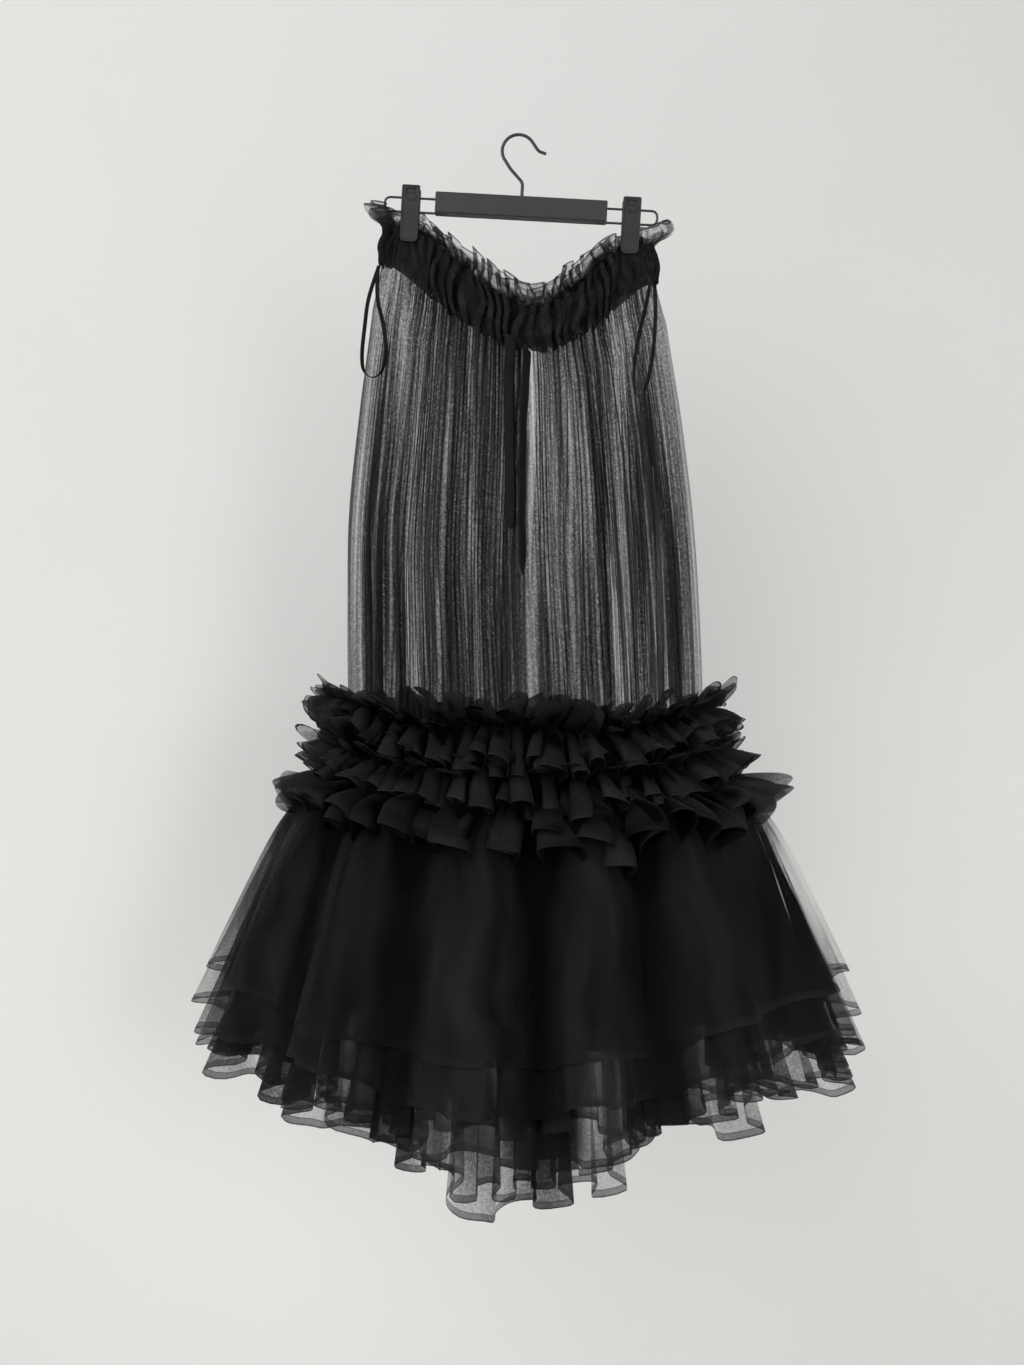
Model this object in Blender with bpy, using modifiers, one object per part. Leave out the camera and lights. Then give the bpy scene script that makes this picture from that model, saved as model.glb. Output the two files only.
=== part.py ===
"""A sheer black net skirt with a gathered waist, ruffle rows and a tiered flounce, on a clip hanger.

Metres, +Z up, front towards -Y. The origin is the inside top of the hanger's hook, where it hangs.
"""

import math

import bmesh
import bpy
from mathutils import Matrix, Vector

# Hanger
TILT = math.radians(3.1)
HANGER_X = 0.0026
BAR_Z = -0.0756
BAR_LENGTH = 0.180
BAR_DEPTH = 0.017
BAR_HEIGHT = 0.022
BAR_EDGE = 0.0012
SOCKET_DEPTH = 0.012
SOCKET_CLEARANCE = 0.0004
HOOK_RADIUS = 0.00175
HOOK_BOW = 0.0173
HOOK_STEM = 0.014
HOOK_BOW_TURNS = range(205, 29, -12)
HOOK_NECK = ((0.12, 0.0012), (0.60, -0.0010))
HOOK_TIP = ((0.0060, -0.0090), (0.0085, -0.0112), (0.0150, -0.0135))
END_PLAY = 0.001
RAIL_RADIUS = 0.0013
RAIL_DROP = 0.0029
RAIL_SPREAD = 0.0074
RAIL_END = 0.1443
RAIL_CORNER = 0.0055

# Clips, each two jaws on the rails with a coil between them
CLIP_X = 0.1157
JAW_WIDTH = 0.019
JAW_ABOVE = 0.019
JAW_BELOW = 0.0395
JAW_PLATE = 0.0022
JAW_CHEEK = 0.0020
JAW_CHEEK_ABOVE = 0.0125
JAW_CHEEK_BELOW = 0.0095
JAW_FRONT_Y = 0.0092
JAW_TIP_Y = 0.0048
JAW_TIP_RADIUS = 0.005
JAW_TOP_RADIUS = 0.002
JAW_CHEEK_INSET = 0.0004
JAW_CHEEK_ROOT = 0.0006
COIL_RADIUS = 0.0030
FIT = 0.0003

# Cloth walls
NET = 0.0010
CASING = 0.0020
RIBBON = 0.0009
SEAM_GAP = 0.0008
PANEL_GAP = 0.0014
FRONT_POINT_STEPS = 12

# Waves round each ring, with four columns of points to a wave
COLUMNS = 4
WAIST_WAVES = 21
BODY_WAVES = 28
RUFFLE_WAVES = 24
FLUTES = 14

# A wave's height and place wander round the ring: how much, and how many times. Waves are calmer at
# the side seams, where the ring bends most.
SIDE_CALM = 0.5
SIDE_CALM_POWER = 6
WAVE_FADE = 0.20
WAVE_FADE_TURNS = (3, 5)
WAVE_SHIFTS = ((0.5, 2), (0.3, 5))

# The skirt's form at levels down the side seam. Sags are how much lower the middle of the front and
# back hang, and sag_power is how narrow that dip is. The clips pinch the top.
LEVEL_COLUMNS = (
    "side_z",
    "middle_x",
    "half_width",
    "front",
    "back",
    "front_sag",
    "back_sag",
    "sag_power",
    "slope",
    "pinch",
)
LEVELS = [
    (-0.103, 0.0000, 0.1385, 0.046, 0.040, 0.0860, 0.064, 2.7, 0.075, 1.00),
    (-0.144, 0.0000, 0.1435, 0.052, 0.046, 0.0900, 0.064, 1.7, 0.070, 1.00),
    (-0.190, 0.0010, 0.1540, 0.072, 0.066, 0.0830, 0.062, 1.4, 0.055, 0.45),
    (-0.290, 0.0020, 0.1680, 0.094, 0.088, 0.0720, 0.054, 1.0, 0.036, 0.10),
    (-0.400, 0.0025, 0.1800, 0.108, 0.102, 0.0560, 0.044, 1.0, 0.026, 0.00),
    (-0.500, 0.0050, 0.1840, 0.116, 0.110, 0.0400, 0.034, 1.0, 0.020, 0.00),
    (-0.590, 0.0070, 0.1855, 0.124, 0.118, 0.0290, 0.026, 1.0, 0.016, 0.00),
    (-0.678, 0.0100, 0.1860, 0.130, 0.124, 0.0180, 0.016, 1.0, 0.012, 0.00),
]
CASING_TOP = LEVELS[0][0]
CASING_FOOT = LEVELS[1][0]
BODY_FOOT = LEVELS[-1][0]
SAG_MIDDLE = 0.012
GRIP_REACH = 0.0145
GRIP_EASE = 0.018
PINCH_HALF_GAP = 0.0013
PINCH_BULB = 0.006
PINCH_ROUNDING = 0.2
WAIST_WAVE = 0.0022
CASING_SWELL = 0.0030
BODY_WAVE_TOP = 0.0022
BODY_WAVE = 0.0048
BODY_WAVE_FOOT = 0.0014

# Frill that stands above the casing
FRILL_HEIGHT = 0.022
FRILL_SIDE_HEIGHT = 0.0105
FRILL_FLARE = 0.003
FRILL_WAVE = 0.0048

# Ruffle rows: how far each edge reaches out, up and down from the row's sewn line
RUFFLE_COLUMNS = ("side_z", "upper_out", "upper_rise", "lower_out", "lower_drop", "wave")
RUFFLE_ROWS = [
    (-0.591, 0.034, 0.019, 0.048, 0.021, 0.0100),
    (-0.636, 0.042, 0.009, 0.060, 0.023, 0.0100),
]
RUFFLE_CURL = 0.5
RUFFLE_STAND = 0.0029
LOW_RUFFLE_Z = -0.669
LOW_RUFFLE_OUT = 0.082
LOW_RUFFLE_SIDE_DROP = 0.030
LOW_RUFFLE_FRONT_DROP = 0.052
LOW_RUFFLE_WAVE = 0.0100
LOW_RUFFLE_CURL = 0.4
LOW_RUFFLE_ARCH = 1.8

# Flounce tiers, outermost first: how far the tier stands off the body and how low it is sewn on,
# how far its shoulder and its hem reach out, and how far the hem hangs at the sides and the front
TIER_COLUMNS = ("stand", "sewn_below", "shoulder", "reach", "side_drop", "front_drop")
TIERS = [
    (0.0074, 0.000, 0.042, 0.128, 0.207, 0.238),
    (0.0060, 0.001, 0.038, 0.139, 0.246, 0.272),
    (0.0046, 0.002, 0.034, 0.130, 0.292, 0.312),
    (0.0032, 0.003, 0.030, 0.092, 0.262, 0.372),
]
TIER_STEPS = (0.0, 0.07, 0.20, 0.45, 0.72, 1.0)
FLOUNCE_ABOVE_FOOT = 0.004
SHOULDER_RUN = 0.022
SHOULDER_LIFT = 0.010
FLUTE_DEPTH = 0.040
FLUTE_RUN = 0.26
FLUTE_LIFT = 0.35
DIP_POWER = 4
DIP_TURN = math.radians(5)
BACK_DIP_SHARE = 0.7

# Ribbons. The ties and the left loop lie on the front: x, z and how far out from its middle surface.
# The right loop hangs inside the waist: x, y and z.
TIE_WIDTH = 0.011
LOOP_WIDTH = 0.004
TIE_SHORT_FACE = (1.0, 0.0, 0.0)
TIE_LONG_FACE = (0.64, 0.77, 0.0)
LOOP_FACE = (0.0, 1.0, 0.0)
TIE_SHORT_ROUTE = [
    (-0.0085, -0.2360, 0.0036),
    (-0.0095, -0.2600, 0.0055),
    (-0.0095, -0.2900, 0.0066),
    (-0.0090, -0.3250, 0.0070),
    (-0.0085, -0.3600, 0.0070),
    (-0.0080, -0.3950, 0.0070),
    (-0.0080, -0.4220, 0.0075),
]
TIE_LONG_ROUTE = [
    (0.0080, -0.2352, 0.0068),
    (0.0070, -0.2600, 0.0100),
    (0.0050, -0.2950, 0.0115),
    (0.0035, -0.3300, 0.0115),
    (0.0030, -0.3650, 0.0115),
    (0.0025, -0.4000, 0.0120),
    (0.0030, -0.4350, 0.0120),
    (0.0035, -0.4680, 0.0120),
]
LOOP_LEFT_ROUTE = [
    (-0.1435, -0.1370, 0.0026),
    (-0.1500, -0.1720, 0.0070),
    (-0.1530, -0.2050, 0.0080),
    (-0.1550, -0.2340, 0.0085),
    (-0.1520, -0.2530, 0.0085),
    (-0.1440, -0.2600, 0.0085),
    (-0.1345, -0.2530, 0.0085),
    (-0.1310, -0.2340, 0.0085),
    (-0.1345, -0.2050, 0.0080),
    (-0.1410, -0.1720, 0.0075),
    (-0.1420, -0.1400, 0.0052),
]
LOOP_RIGHT_ROUTE = [
    (0.1425, 0.0000, -0.1565),
    (0.1435, 0.0000, -0.1850),
    (0.1415, 0.0000, -0.2200),
    (0.1360, 0.0000, -0.2550),
    (0.1290, 0.0000, -0.2720),
    (0.1220, 0.0000, -0.2660),
    (0.1215, 0.0000, -0.2400),
    (0.1260, 0.0000, -0.2100),
    (0.1330, 0.0000, -0.1800),
    (0.1377, 0.0000, -0.1565),
]


def clear_scene():
    for thing in list(bpy.data.objects):
        bpy.data.objects.remove(thing)


def new_collection(name, hidden=False):
    collection = bpy.data.collections.new(name)
    bpy.context.scene.collection.children.link(collection)
    collection.hide_render = hidden
    return collection


def finish(name, colour, roughness, metallic=0.0, alpha=1.0):
    material = bpy.data.materials.new(name)
    material.use_nodes = True
    shader = material.node_tree.nodes["Principled BSDF"]
    shader.inputs["Base Color"].default_value = (*colour, 1.0)
    shader.inputs["Roughness"].default_value = roughness
    shader.inputs["Metallic"].default_value = metallic
    shader.inputs["Alpha"].default_value = alpha
    return material


def place(name, mesh, material, collection):
    thing = bpy.data.objects.new(name, mesh)
    mesh.materials.append(material)
    collection.objects.link(thing)
    return thing


def ease(share):
    share = min(max(share, 0.0), 1.0)
    return share * share * (3 - 2 * share)


def mix(low, high, share):
    return low + (high - low) * share


# The skirt's form


def level_at(side_z):
    """The form's named values at a height on the side seam, on a smooth curve through LEVELS."""
    heights = [row[0] for row in LEVELS]
    last = len(LEVELS) - 1
    low = next((i for i in range(last) if side_z >= heights[i + 1]), last - 1)
    share = (side_z - heights[low]) / (heights[low + 1] - heights[low])
    share = min(max(share, 0.0), 1.0)
    before = LEVELS[max(low - 1, 0)]
    after = LEVELS[min(low + 2, last)]
    form = {}
    for column, name in enumerate(LEVEL_COLUMNS):
        start, end = LEVELS[low][column], LEVELS[low + 1][column]
        lead_in, lead_out = (end - before[column]) / 2, (after[column] - start) / 2
        form[name] = (
            start * (2 * share**3 - 3 * share**2 + 1)
            + lead_in * (share**3 - 2 * share**2 + share)
            + end * (3 * share**2 - 2 * share**3)
            + lead_out * (share**3 - share**2)
        )
    form["side_z"] = side_z
    form["pinch"] = min(max(form["pinch"], 0.0), 1.0)
    return form


def away_from_clips(x):
    """0 where a clip grips the waist, 1 away from it."""
    reach = abs(abs(x - HANGER_X) - CLIP_X)
    return ease((reach - GRIP_REACH) / GRIP_EASE)


def ring_point(form, angle, out=0.0, rise=0.0):
    """A point of the skirt at an angle round it, where 0 is the right seam and 3/4 turn the front,
    moved out along the ring's normal and up."""
    across, along = math.cos(angle), math.sin(angle)
    width = form["half_width"]
    depth = form["back"] if along > 0 else form["front"]
    x = form["middle_x"] + width * across
    open_y = depth * along

    aside = abs(x - HANGER_X)
    inner_edge = CLIP_X - GRIP_REACH
    outer_edge = CLIP_X + GRIP_REACH
    swell = 0.0
    if aside < inner_edge:
        swell = depth * (1 - (aside / inner_edge) ** 2)
    elif aside > outer_edge:
        share = abs(along) / math.sqrt(1 - (outer_edge / width) ** 2)
        swell = PINCH_BULB * math.sin(math.pi * min(share, 1.0))
    held = PINCH_HALF_GAP * min(1.0, abs(along) / PINCH_ROUNDING)
    closed_y = math.copysign(swell + held, along)
    y = mix(open_y, closed_y, form["pinch"])

    side = width - SAG_MIDDLE if x > form["middle_x"] + SAG_MIDDLE else width + SAG_MIDDLE
    share = min(abs(x - form["middle_x"] - SAG_MIDDLE) / side, 1.0)
    sag = form["back_sag"] if along > 0 else form["front_sag"]
    dip = sag * (1 - share**2) ** form["sag_power"]
    z = form["side_z"] - dip - form["slope"] * x

    normal = Vector((across / width, along / depth, 0)).normalized()
    return Vector((x, y, z + rise)) + normal * out


def wave(angle, waves):
    """A gather's height, from -1 to 1, uneven round the ring."""
    slow, fast = WAVE_FADE_TURNS
    fade = 1 - WAVE_FADE * (1 - math.sin(slow * angle + 1) * math.cos(fast * angle))
    shift = sum(amount * math.sin(turns * angle) for amount, turns in WAVE_SHIFTS)
    calm = 1 - SIDE_CALM * math.cos(angle) ** SIDE_CALM_POWER
    return calm * fade * math.cos(waves * angle + shift)


def cloth(name, columns, rows, surface, thickness, material, collection, angles=(0, 2 * math.pi)):
    """A cloth wall: a grid whose points surface(angle, share up from the lowest row) puts in place."""
    bm = bmesh.new()
    bmesh.ops.create_grid(bm, x_segments=columns, y_segments=rows, size=0.5)
    for vert in bm.verts:
        angle = mix(angles[0], angles[1], vert.co.x + 0.5)
        vert.co = surface(angle, vert.co.y + 0.5)
    bmesh.ops.remove_doubles(bm, verts=bm.verts, dist=1e-5)
    mesh = bpy.data.meshes.new(name)
    bm.to_mesh(mesh)
    bm.free()
    wall = place(name, mesh, material, collection)
    solidify = wall.modifiers.new("thickness", "SOLIDIFY")
    solidify.thickness = thickness
    solidify.offset = 0
    return wall


def make_casing(net, collection):
    height = CASING_TOP - CASING_FOOT

    def surface(angle, share):
        form = level_at(CASING_FOOT + height * share)
        here = ring_point(form, angle)
        swell = CASING_SWELL * math.sin(math.pi * share)
        depth = (WAIST_WAVE * wave(angle, WAIST_WAVES) + swell) * away_from_clips(here.x)
        return ring_point(form, angle, depth)

    return cloth(
        "waist_casing", WAIST_WAVES * COLUMNS, 2, surface, CASING, net, collection
    )


def make_frill(net, collection):
    form = level_at(CASING_TOP)

    def surface(angle, share):
        here = ring_point(form, angle)
        clear = away_from_clips(here.x)
        middle = 1 - (abs(here.x - HANGER_X) / RAIL_END) ** 2
        height = mix(FRILL_SIDE_HEIGHT, FRILL_HEIGHT, ease(2 * middle - 0.5))
        amount = mix(WAIST_WAVE, FRILL_WAVE, share)
        out = (amount * wave(angle, WAIST_WAVES) + FRILL_FLARE * share**2) * clear
        return ring_point(form, angle, out, SEAM_GAP + height * share)

    return cloth("waist_frill", WAIST_WAVES * COLUMNS, 2, surface, NET, net, collection)


def body_wave(side_z):
    """How deep the body's gathers are: shallow where they are sewn, deepest halfway."""
    share = (CASING_FOOT - side_z) / (CASING_FOOT - RUFFLE_ROWS[0][0])
    if share < 0.5:
        return mix(BODY_WAVE_TOP, BODY_WAVE, ease(2 * share))
    return mix(BODY_WAVE, BODY_WAVE_FOOT, ease(2 * share - 1))


def make_body(net, collection):
    top = CASING_FOOT - SEAM_GAP
    foot = BODY_FOOT
    panels = {
        "body_back": (0, math.pi, 1),
        "body_front": (math.pi, 2 * math.pi, -1),
    }
    made = []
    for name, (start, end, away) in panels.items():

        def surface(angle, share, away=away):
            side_z = mix(foot, top, share)
            form = level_at(side_z)
            here = ring_point(form, angle)
            gripped = mix(1.0, away_from_clips(here.x), form["pinch"])
            out = body_wave(side_z) * wave(angle, BODY_WAVES) * gripped
            return ring_point(form, angle, out) + Vector((0, away * PANEL_GAP / 2, 0))

        columns = BODY_WAVES * COLUMNS // 2
        made.append(cloth(name, columns, 6, surface, NET, net, collection, (start, end)))
    return made


def make_ruffles(net, collection):
    """Two strips gathered along their middles, so both edges stand out from the body."""
    for number, values in enumerate(RUFFLE_ROWS, start=1):
        row = dict(zip(RUFFLE_COLUMNS, values))
        form = level_at(row["side_z"])

        def surface(angle, share, row=row, form=form):
            edge = 2 * share - 1
            reach = row["upper_out"] if edge > 0 else row["lower_out"]
            lift = row["upper_rise"] if edge > 0 else -row["lower_drop"]
            crest = wave(angle, RUFFLE_WAVES) * row["wave"] * abs(edge)
            curl = -crest * math.copysign(RUFFLE_CURL, edge)
            out = RUFFLE_STAND + reach * abs(edge) + curl
            return ring_point(form, angle, out, lift * abs(edge) + crest)

        cloth(
            f"ruffle_{number}",
            RUFFLE_WAVES * COLUMNS,
            2,
            surface,
            NET,
            net,
            collection,
        )


def make_low_ruffle(net, collection):
    """The widest ruffle, sewn along its top edge, arching out over the flounce."""
    form = level_at(LOW_RUFFLE_Z)

    def surface(angle, share):
        down = 1 - share
        front = abs(math.sin(angle)) ** 2
        drop = mix(LOW_RUFFLE_SIDE_DROP, LOW_RUFFLE_FRONT_DROP, front)
        crest = wave(angle, RUFFLE_WAVES) * LOW_RUFFLE_WAVE * down
        out = RUFFLE_STAND + LOW_RUFFLE_OUT * math.sin(down * math.pi / 2)
        fall = crest - drop * down**LOW_RUFFLE_ARCH
        return ring_point(form, angle, out + crest * LOW_RUFFLE_CURL, fall)

    return cloth(
        "ruffle_3", RUFFLE_WAVES * COLUMNS, 3, surface, NET, net, collection
    )


def tier_point(tier, form, angle, share):
    """A point of a flounce tier at a share of the way down to its hem: a rounded shoulder, then a
    cone whose flutes deepen towards the hem and lift where they stand out."""
    middle = math.sin(angle + DIP_TURN) ** DIP_POWER
    middle *= mix(1.0, BACK_DIP_SHARE, (1 + math.sin(angle)) / 2)
    hang = mix(tier["side_drop"], tier["front_drop"], middle)
    down = share * hang
    settle = 1 - math.exp(-down / SHOULDER_RUN)
    out = tier["shoulder"] * settle + (tier["reach"] - tier["shoulder"]) * share
    flute = FLUTE_DEPTH * (1 - math.exp(-down / FLUTE_RUN)) * wave(angle, FLUTES)
    drop = down - SHOULDER_LIFT * settle - flute * FLUTE_LIFT
    return ring_point(form, angle, tier["stand"] + out + flute, -drop - tier["sewn_below"])


def make_flounce(net, collection):
    form = level_at(BODY_FOOT + FLOUNCE_ABOVE_FOOT)
    for number, values in enumerate(TIERS, start=1):
        tier = dict(zip(TIER_COLUMNS, values))

        def surface(angle, share, tier=tier):
            step = TIER_STEPS[round((1 - share) * (len(TIER_STEPS) - 1))]
            return tier_point(tier, form, angle, step)

        rows = len(TIER_STEPS) - 1
        name = f"flounce_{number}"
        cloth(name, FLUTES * COLUMNS, rows, surface, NET, net, collection)


def front_point(x, z, out):
    """The point out from the front panel's middle surface that lies at a given x and height."""
    side_z = z
    for _ in range(FRONT_POINT_STEPS):
        form = level_at(side_z)
        across = (x - form["middle_x"]) / form["half_width"]
        angle = 2 * math.pi - math.acos(min(max(across, -1.0), 1.0))
        point = ring_point(form, angle, out)
        side_z += z - point.z
    return point


def make_ribbon(name, route, width, face, material, collection):
    """A flat ribbon along a route, with its width along one direction."""
    across = Vector(face).normalized()
    smooth = smooth_route(route, 2)
    bm = bmesh.new()
    bmesh.ops.create_grid(bm, x_segments=1, y_segments=len(smooth) - 1, size=0.5)
    for vert in bm.verts:
        middle = smooth[round((vert.co.y + 0.5) * (len(smooth) - 1))]
        vert.co = middle + across * (width * vert.co.x)
    mesh = bpy.data.meshes.new(name)
    bm.to_mesh(mesh)
    bm.free()
    ribbon = place(name, mesh, material, collection)
    solidify = ribbon.modifiers.new("thickness", "SOLIDIFY")
    solidify.thickness = RIBBON
    solidify.offset = 0
    return ribbon


def make_ribbons(ribbon, collection):
    on_front = {
        "tie_short": (TIE_SHORT_ROUTE, TIE_WIDTH, TIE_SHORT_FACE),
        "tie_long": (TIE_LONG_ROUTE, TIE_WIDTH, TIE_LONG_FACE),
        "loop_left": (LOOP_LEFT_ROUTE, LOOP_WIDTH, LOOP_FACE),
    }
    for name, (route, width, face) in on_front.items():
        points = [front_point(*point) for point in route]
        make_ribbon(name, points, width, face, ribbon, collection)
    make_ribbon("loop_right", LOOP_RIGHT_ROUTE, LOOP_WIDTH, LOOP_FACE, ribbon, collection)


def smooth_route(route, steps):
    """Points on a smooth curve through a route's own points."""
    points = [Vector(point) for point in route]
    made = []
    for i in range(len(points) - 1):
        before = points[max(i - 1, 0)]
        start, end = points[i], points[i + 1]
        after = points[min(i + 2, len(points) - 1)]
        for step in range(steps):
            t = step / steps
            made.append(
                0.5
                * (
                    2 * start
                    + (end - before) * t
                    + (2 * before - 5 * start + 4 * end - after) * t**2
                    + (3 * start - before - 3 * end + after) * t**3
                )
            )
    return [*made, points[-1]]


# The hanger


def hanger_frame():
    """The hanger leans a little on its hook, with the right end lower."""
    return Matrix.Translation((HANGER_X, 0, BAR_Z)) @ Matrix.Rotation(TILT, 4, "Y")


def wire(name, points, radius, material, collection, sides=2):
    curve = bpy.data.curves.new(name, "CURVE")
    curve.dimensions = "3D"
    curve.bevel_depth = radius
    curve.bevel_resolution = sides
    curve.use_fill_caps = True
    spline = curve.splines.new("POLY")
    spline.points.add(len(points) - 1)
    for spot, point in zip(spline.points, points):
        spot.co = (*point, 1)
    thing = bpy.data.objects.new(name, curve)
    curve.materials.append(material)
    collection.objects.link(thing)
    return thing


def box(name, low, high, material, collection, edge=0.0):
    bm = bmesh.new()
    bmesh.ops.create_cube(bm, size=1)
    size = Vector(high) - Vector(low)
    bmesh.ops.scale(bm, vec=size, verts=bm.verts)
    bmesh.ops.translate(bm, vec=(Vector(high) + Vector(low)) / 2, verts=bm.verts)
    mesh = bpy.data.meshes.new(name)
    bm.to_mesh(mesh)
    bm.free()
    thing = place(name, mesh, material, collection)
    if edge:
        bevel = thing.modifiers.new("edge", "BEVEL")
        bevel.width = edge
        bevel.segments = 2
    return thing


def boolean(thing, operation, other):
    modifier = thing.modifiers.new(operation.lower(), "BOOLEAN")
    modifier.operation = operation
    modifier.object = other
    other.hide_render = True
    other.display_type = "WIRE"


def rod_mesh(name, radius, length, sides):
    bm = bmesh.new()
    bmesh.ops.create_cone(
        bm, cap_ends=True, segments=sides, radius1=radius, radius2=radius, depth=length
    )
    mesh = bpy.data.meshes.new(name)
    bm.to_mesh(mesh)
    bm.free()
    return mesh


def socket(name, centre, axis, radius, cutters):
    """A cutter for the hole that a wire's end sits in."""
    mesh = rod_mesh(name, radius + SOCKET_CLEARANCE, 2 * SOCKET_DEPTH, 12)
    cutter = bpy.data.objects.new(name, mesh)
    cutters.objects.link(cutter)
    turn = Vector((0, 0, 1)).rotation_difference(Vector(axis)).to_matrix().to_4x4()
    cutter.matrix_world = hanger_frame() @ Matrix.Translation(centre) @ turn
    return cutter


def make_bar(plastic, collection, cutters):
    half = Vector((BAR_LENGTH, BAR_DEPTH, BAR_HEIGHT)) / 2
    bar = box("hanger_bar", -half, half, plastic, collection, BAR_EDGE)
    bar.matrix_world = hanger_frame()
    for side in (-1, 1):
        for level in (-1, 1):
            centre = (side * BAR_LENGTH / 2, 0, level * RAIL_SPREAD - RAIL_DROP)
            name = f"rail_socket_{side}_{level}"
            cut = socket(name, centre, (1, 0, 0), RAIL_RADIUS, cutters)
            boolean(bar, "DIFFERENCE", cut)
    top = (0, 0, BAR_HEIGHT / 2)
    cut = socket("hook_socket", top, (0, 0, 1), HOOK_RADIUS, cutters)
    boolean(bar, "DIFFERENCE", cut)


def make_hook(steel, collection):
    """A bent wire: a straight stem, a neck that swings left, a bow over the top and a turned-up tip.
    The bow's inside top is the origin."""
    frame = hanger_frame()
    bar_top = BAR_HEIGHT / 2
    stem_foot = frame @ Vector((0, 0, bar_top - SOCKET_DEPTH + END_PLAY))
    stem_top = frame @ Vector((0, 0, bar_top + HOOK_STEM))
    bow_centre = Vector((0, 0, HOOK_RADIUS - HOOK_BOW))
    bow = []
    for degrees in HOOK_BOW_TURNS:
        turn = math.radians(degrees)
        spoke = Vector((math.cos(turn), 0, math.sin(turn))) * HOOK_BOW
        bow.append(bow_centre + spoke)
    neck = [mix(stem_top, bow[0], share) + Vector((bend, 0, 0)) for share, bend in HOOK_NECK]
    tip = [bow[-1] + Vector((x, 0, z)) for x, z in HOOK_TIP]
    points = [stem_foot, stem_top, *neck, *bow, *tip]
    return wire("hanger_hook", points, HOOK_RADIUS, steel, collection)


def make_rails(steel, collection):
    """Each rail is one wire bent into a long U, with both ends in the bar."""
    for name, side in (("hanger_rail_left", -1), ("hanger_rail_right", 1)):
        inner = BAR_LENGTH / 2 - SOCKET_DEPTH + END_PLAY
        bend = RAIL_END - RAIL_RADIUS - RAIL_CORNER
        points = [Vector((side * inner, 0, RAIL_SPREAD))]
        for level, turns in ((1, range(90, -1, -30)), (-1, range(0, -91, -30))):
            centre = Vector((bend, 0, level * (RAIL_SPREAD - RAIL_CORNER)))
            for degrees in turns:
                turn = math.radians(degrees)
                spoke = Vector((math.cos(turn), 0, math.sin(turn))) * RAIL_CORNER
                corner = centre + spoke
                points.append(Vector((side * corner.x, 0, corner.z)))
        points.append(Vector((side * inner, 0, -RAIL_SPREAD)))
        rail = wire(name, points, RAIL_RADIUS, steel, collection)
        rail.matrix_world = hanger_frame() @ Matrix.Translation((0, 0, -RAIL_DROP))


def jaw_plate(away):
    """A jaw's plate with rounded corners, leaning in from the rails to the tip that grips."""
    corners = (
        (1, -JAW_BELOW, JAW_TIP_RADIUS, -90),
        (1, JAW_ABOVE, JAW_TOP_RADIUS, 0),
        (-1, JAW_ABOVE, JAW_TOP_RADIUS, 90),
        (-1, -JAW_BELOW, JAW_TIP_RADIUS, 180),
    )
    bm = bmesh.new()
    outline = []
    for side, edge_z, radius, begin in corners:
        middle_x = side * (JAW_WIDTH / 2 - radius)
        middle_z = edge_z - math.copysign(radius, edge_z)
        for degrees in range(begin, begin + 91, 30):
            turn = math.radians(degrees)
            x = middle_x + radius * math.cos(turn)
            z = middle_z + radius * math.sin(turn)
            outline.append(bm.verts.new((x, 0, z)))
    face = bm.faces.new(outline)
    grown = bmesh.ops.extrude_face_region(bm, geom=[face])
    moved = [part for part in grown["geom"] if isinstance(part, bmesh.types.BMVert)]
    bmesh.ops.translate(bm, vec=(0, away * JAW_PLATE, 0), verts=moved)
    bmesh.ops.recalc_face_normals(bm, faces=bm.faces)
    for vert in bm.verts:
        outer_y = mix(JAW_FRONT_Y, JAW_TIP_Y, ease(-vert.co.z / JAW_BELOW))
        vert.co.y += away * (outer_y - JAW_PLATE)
    return bm


def make_jaw(name, away, spot, plastic, collection, cutters):
    """The plate and its two cheeks, which reach in to the rails."""
    bm = jaw_plate(away)
    mesh = bpy.data.meshes.new(name)
    bm.to_mesh(mesh)
    bm.free()
    jaw = place(name, mesh, plastic, collection)
    jaw.matrix_world = spot
    near = away * (RAIL_RADIUS + FIT)
    far = away * (JAW_FRONT_Y - JAW_PLATE + JAW_CHEEK_ROOT)
    for side in (-1, 1):
        outer = side * (JAW_WIDTH / 2 - JAW_CHEEK_INSET)
        inner = outer - side * JAW_CHEEK
        low = (min(outer, inner), min(near, far), -JAW_CHEEK_BELOW)
        high = (max(outer, inner), max(near, far), JAW_CHEEK_ABOVE)
        cheek = box(f"{name}_cheek_{side}", low, high, plastic, cutters)
        cheek.matrix_world = spot
        boolean(jaw, "UNION", cheek)


def make_clips(plastic, steel, collection, cutters):
    for side_name, side in (("left", -1), ("right", 1)):
        spot = hanger_frame() @ Matrix.Translation((side * CLIP_X, 0, -RAIL_DROP))
        for jaw_name, away in (("front", -1), ("back", 1)):
            name = f"clip_{side_name}_{jaw_name}"
            make_jaw(name, away, spot, plastic, collection, cutters)
        length = JAW_WIDTH - 2 * (JAW_CHEEK_INSET + JAW_CHEEK + FIT)
        coil_mesh = rod_mesh(f"clip_{side_name}_coil", COIL_RADIUS, length, 16)
        coil = place(f"clip_{side_name}_coil", coil_mesh, steel, collection)
        coil.matrix_world = spot @ Matrix.Rotation(math.pi / 2, 4, "Y")


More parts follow.
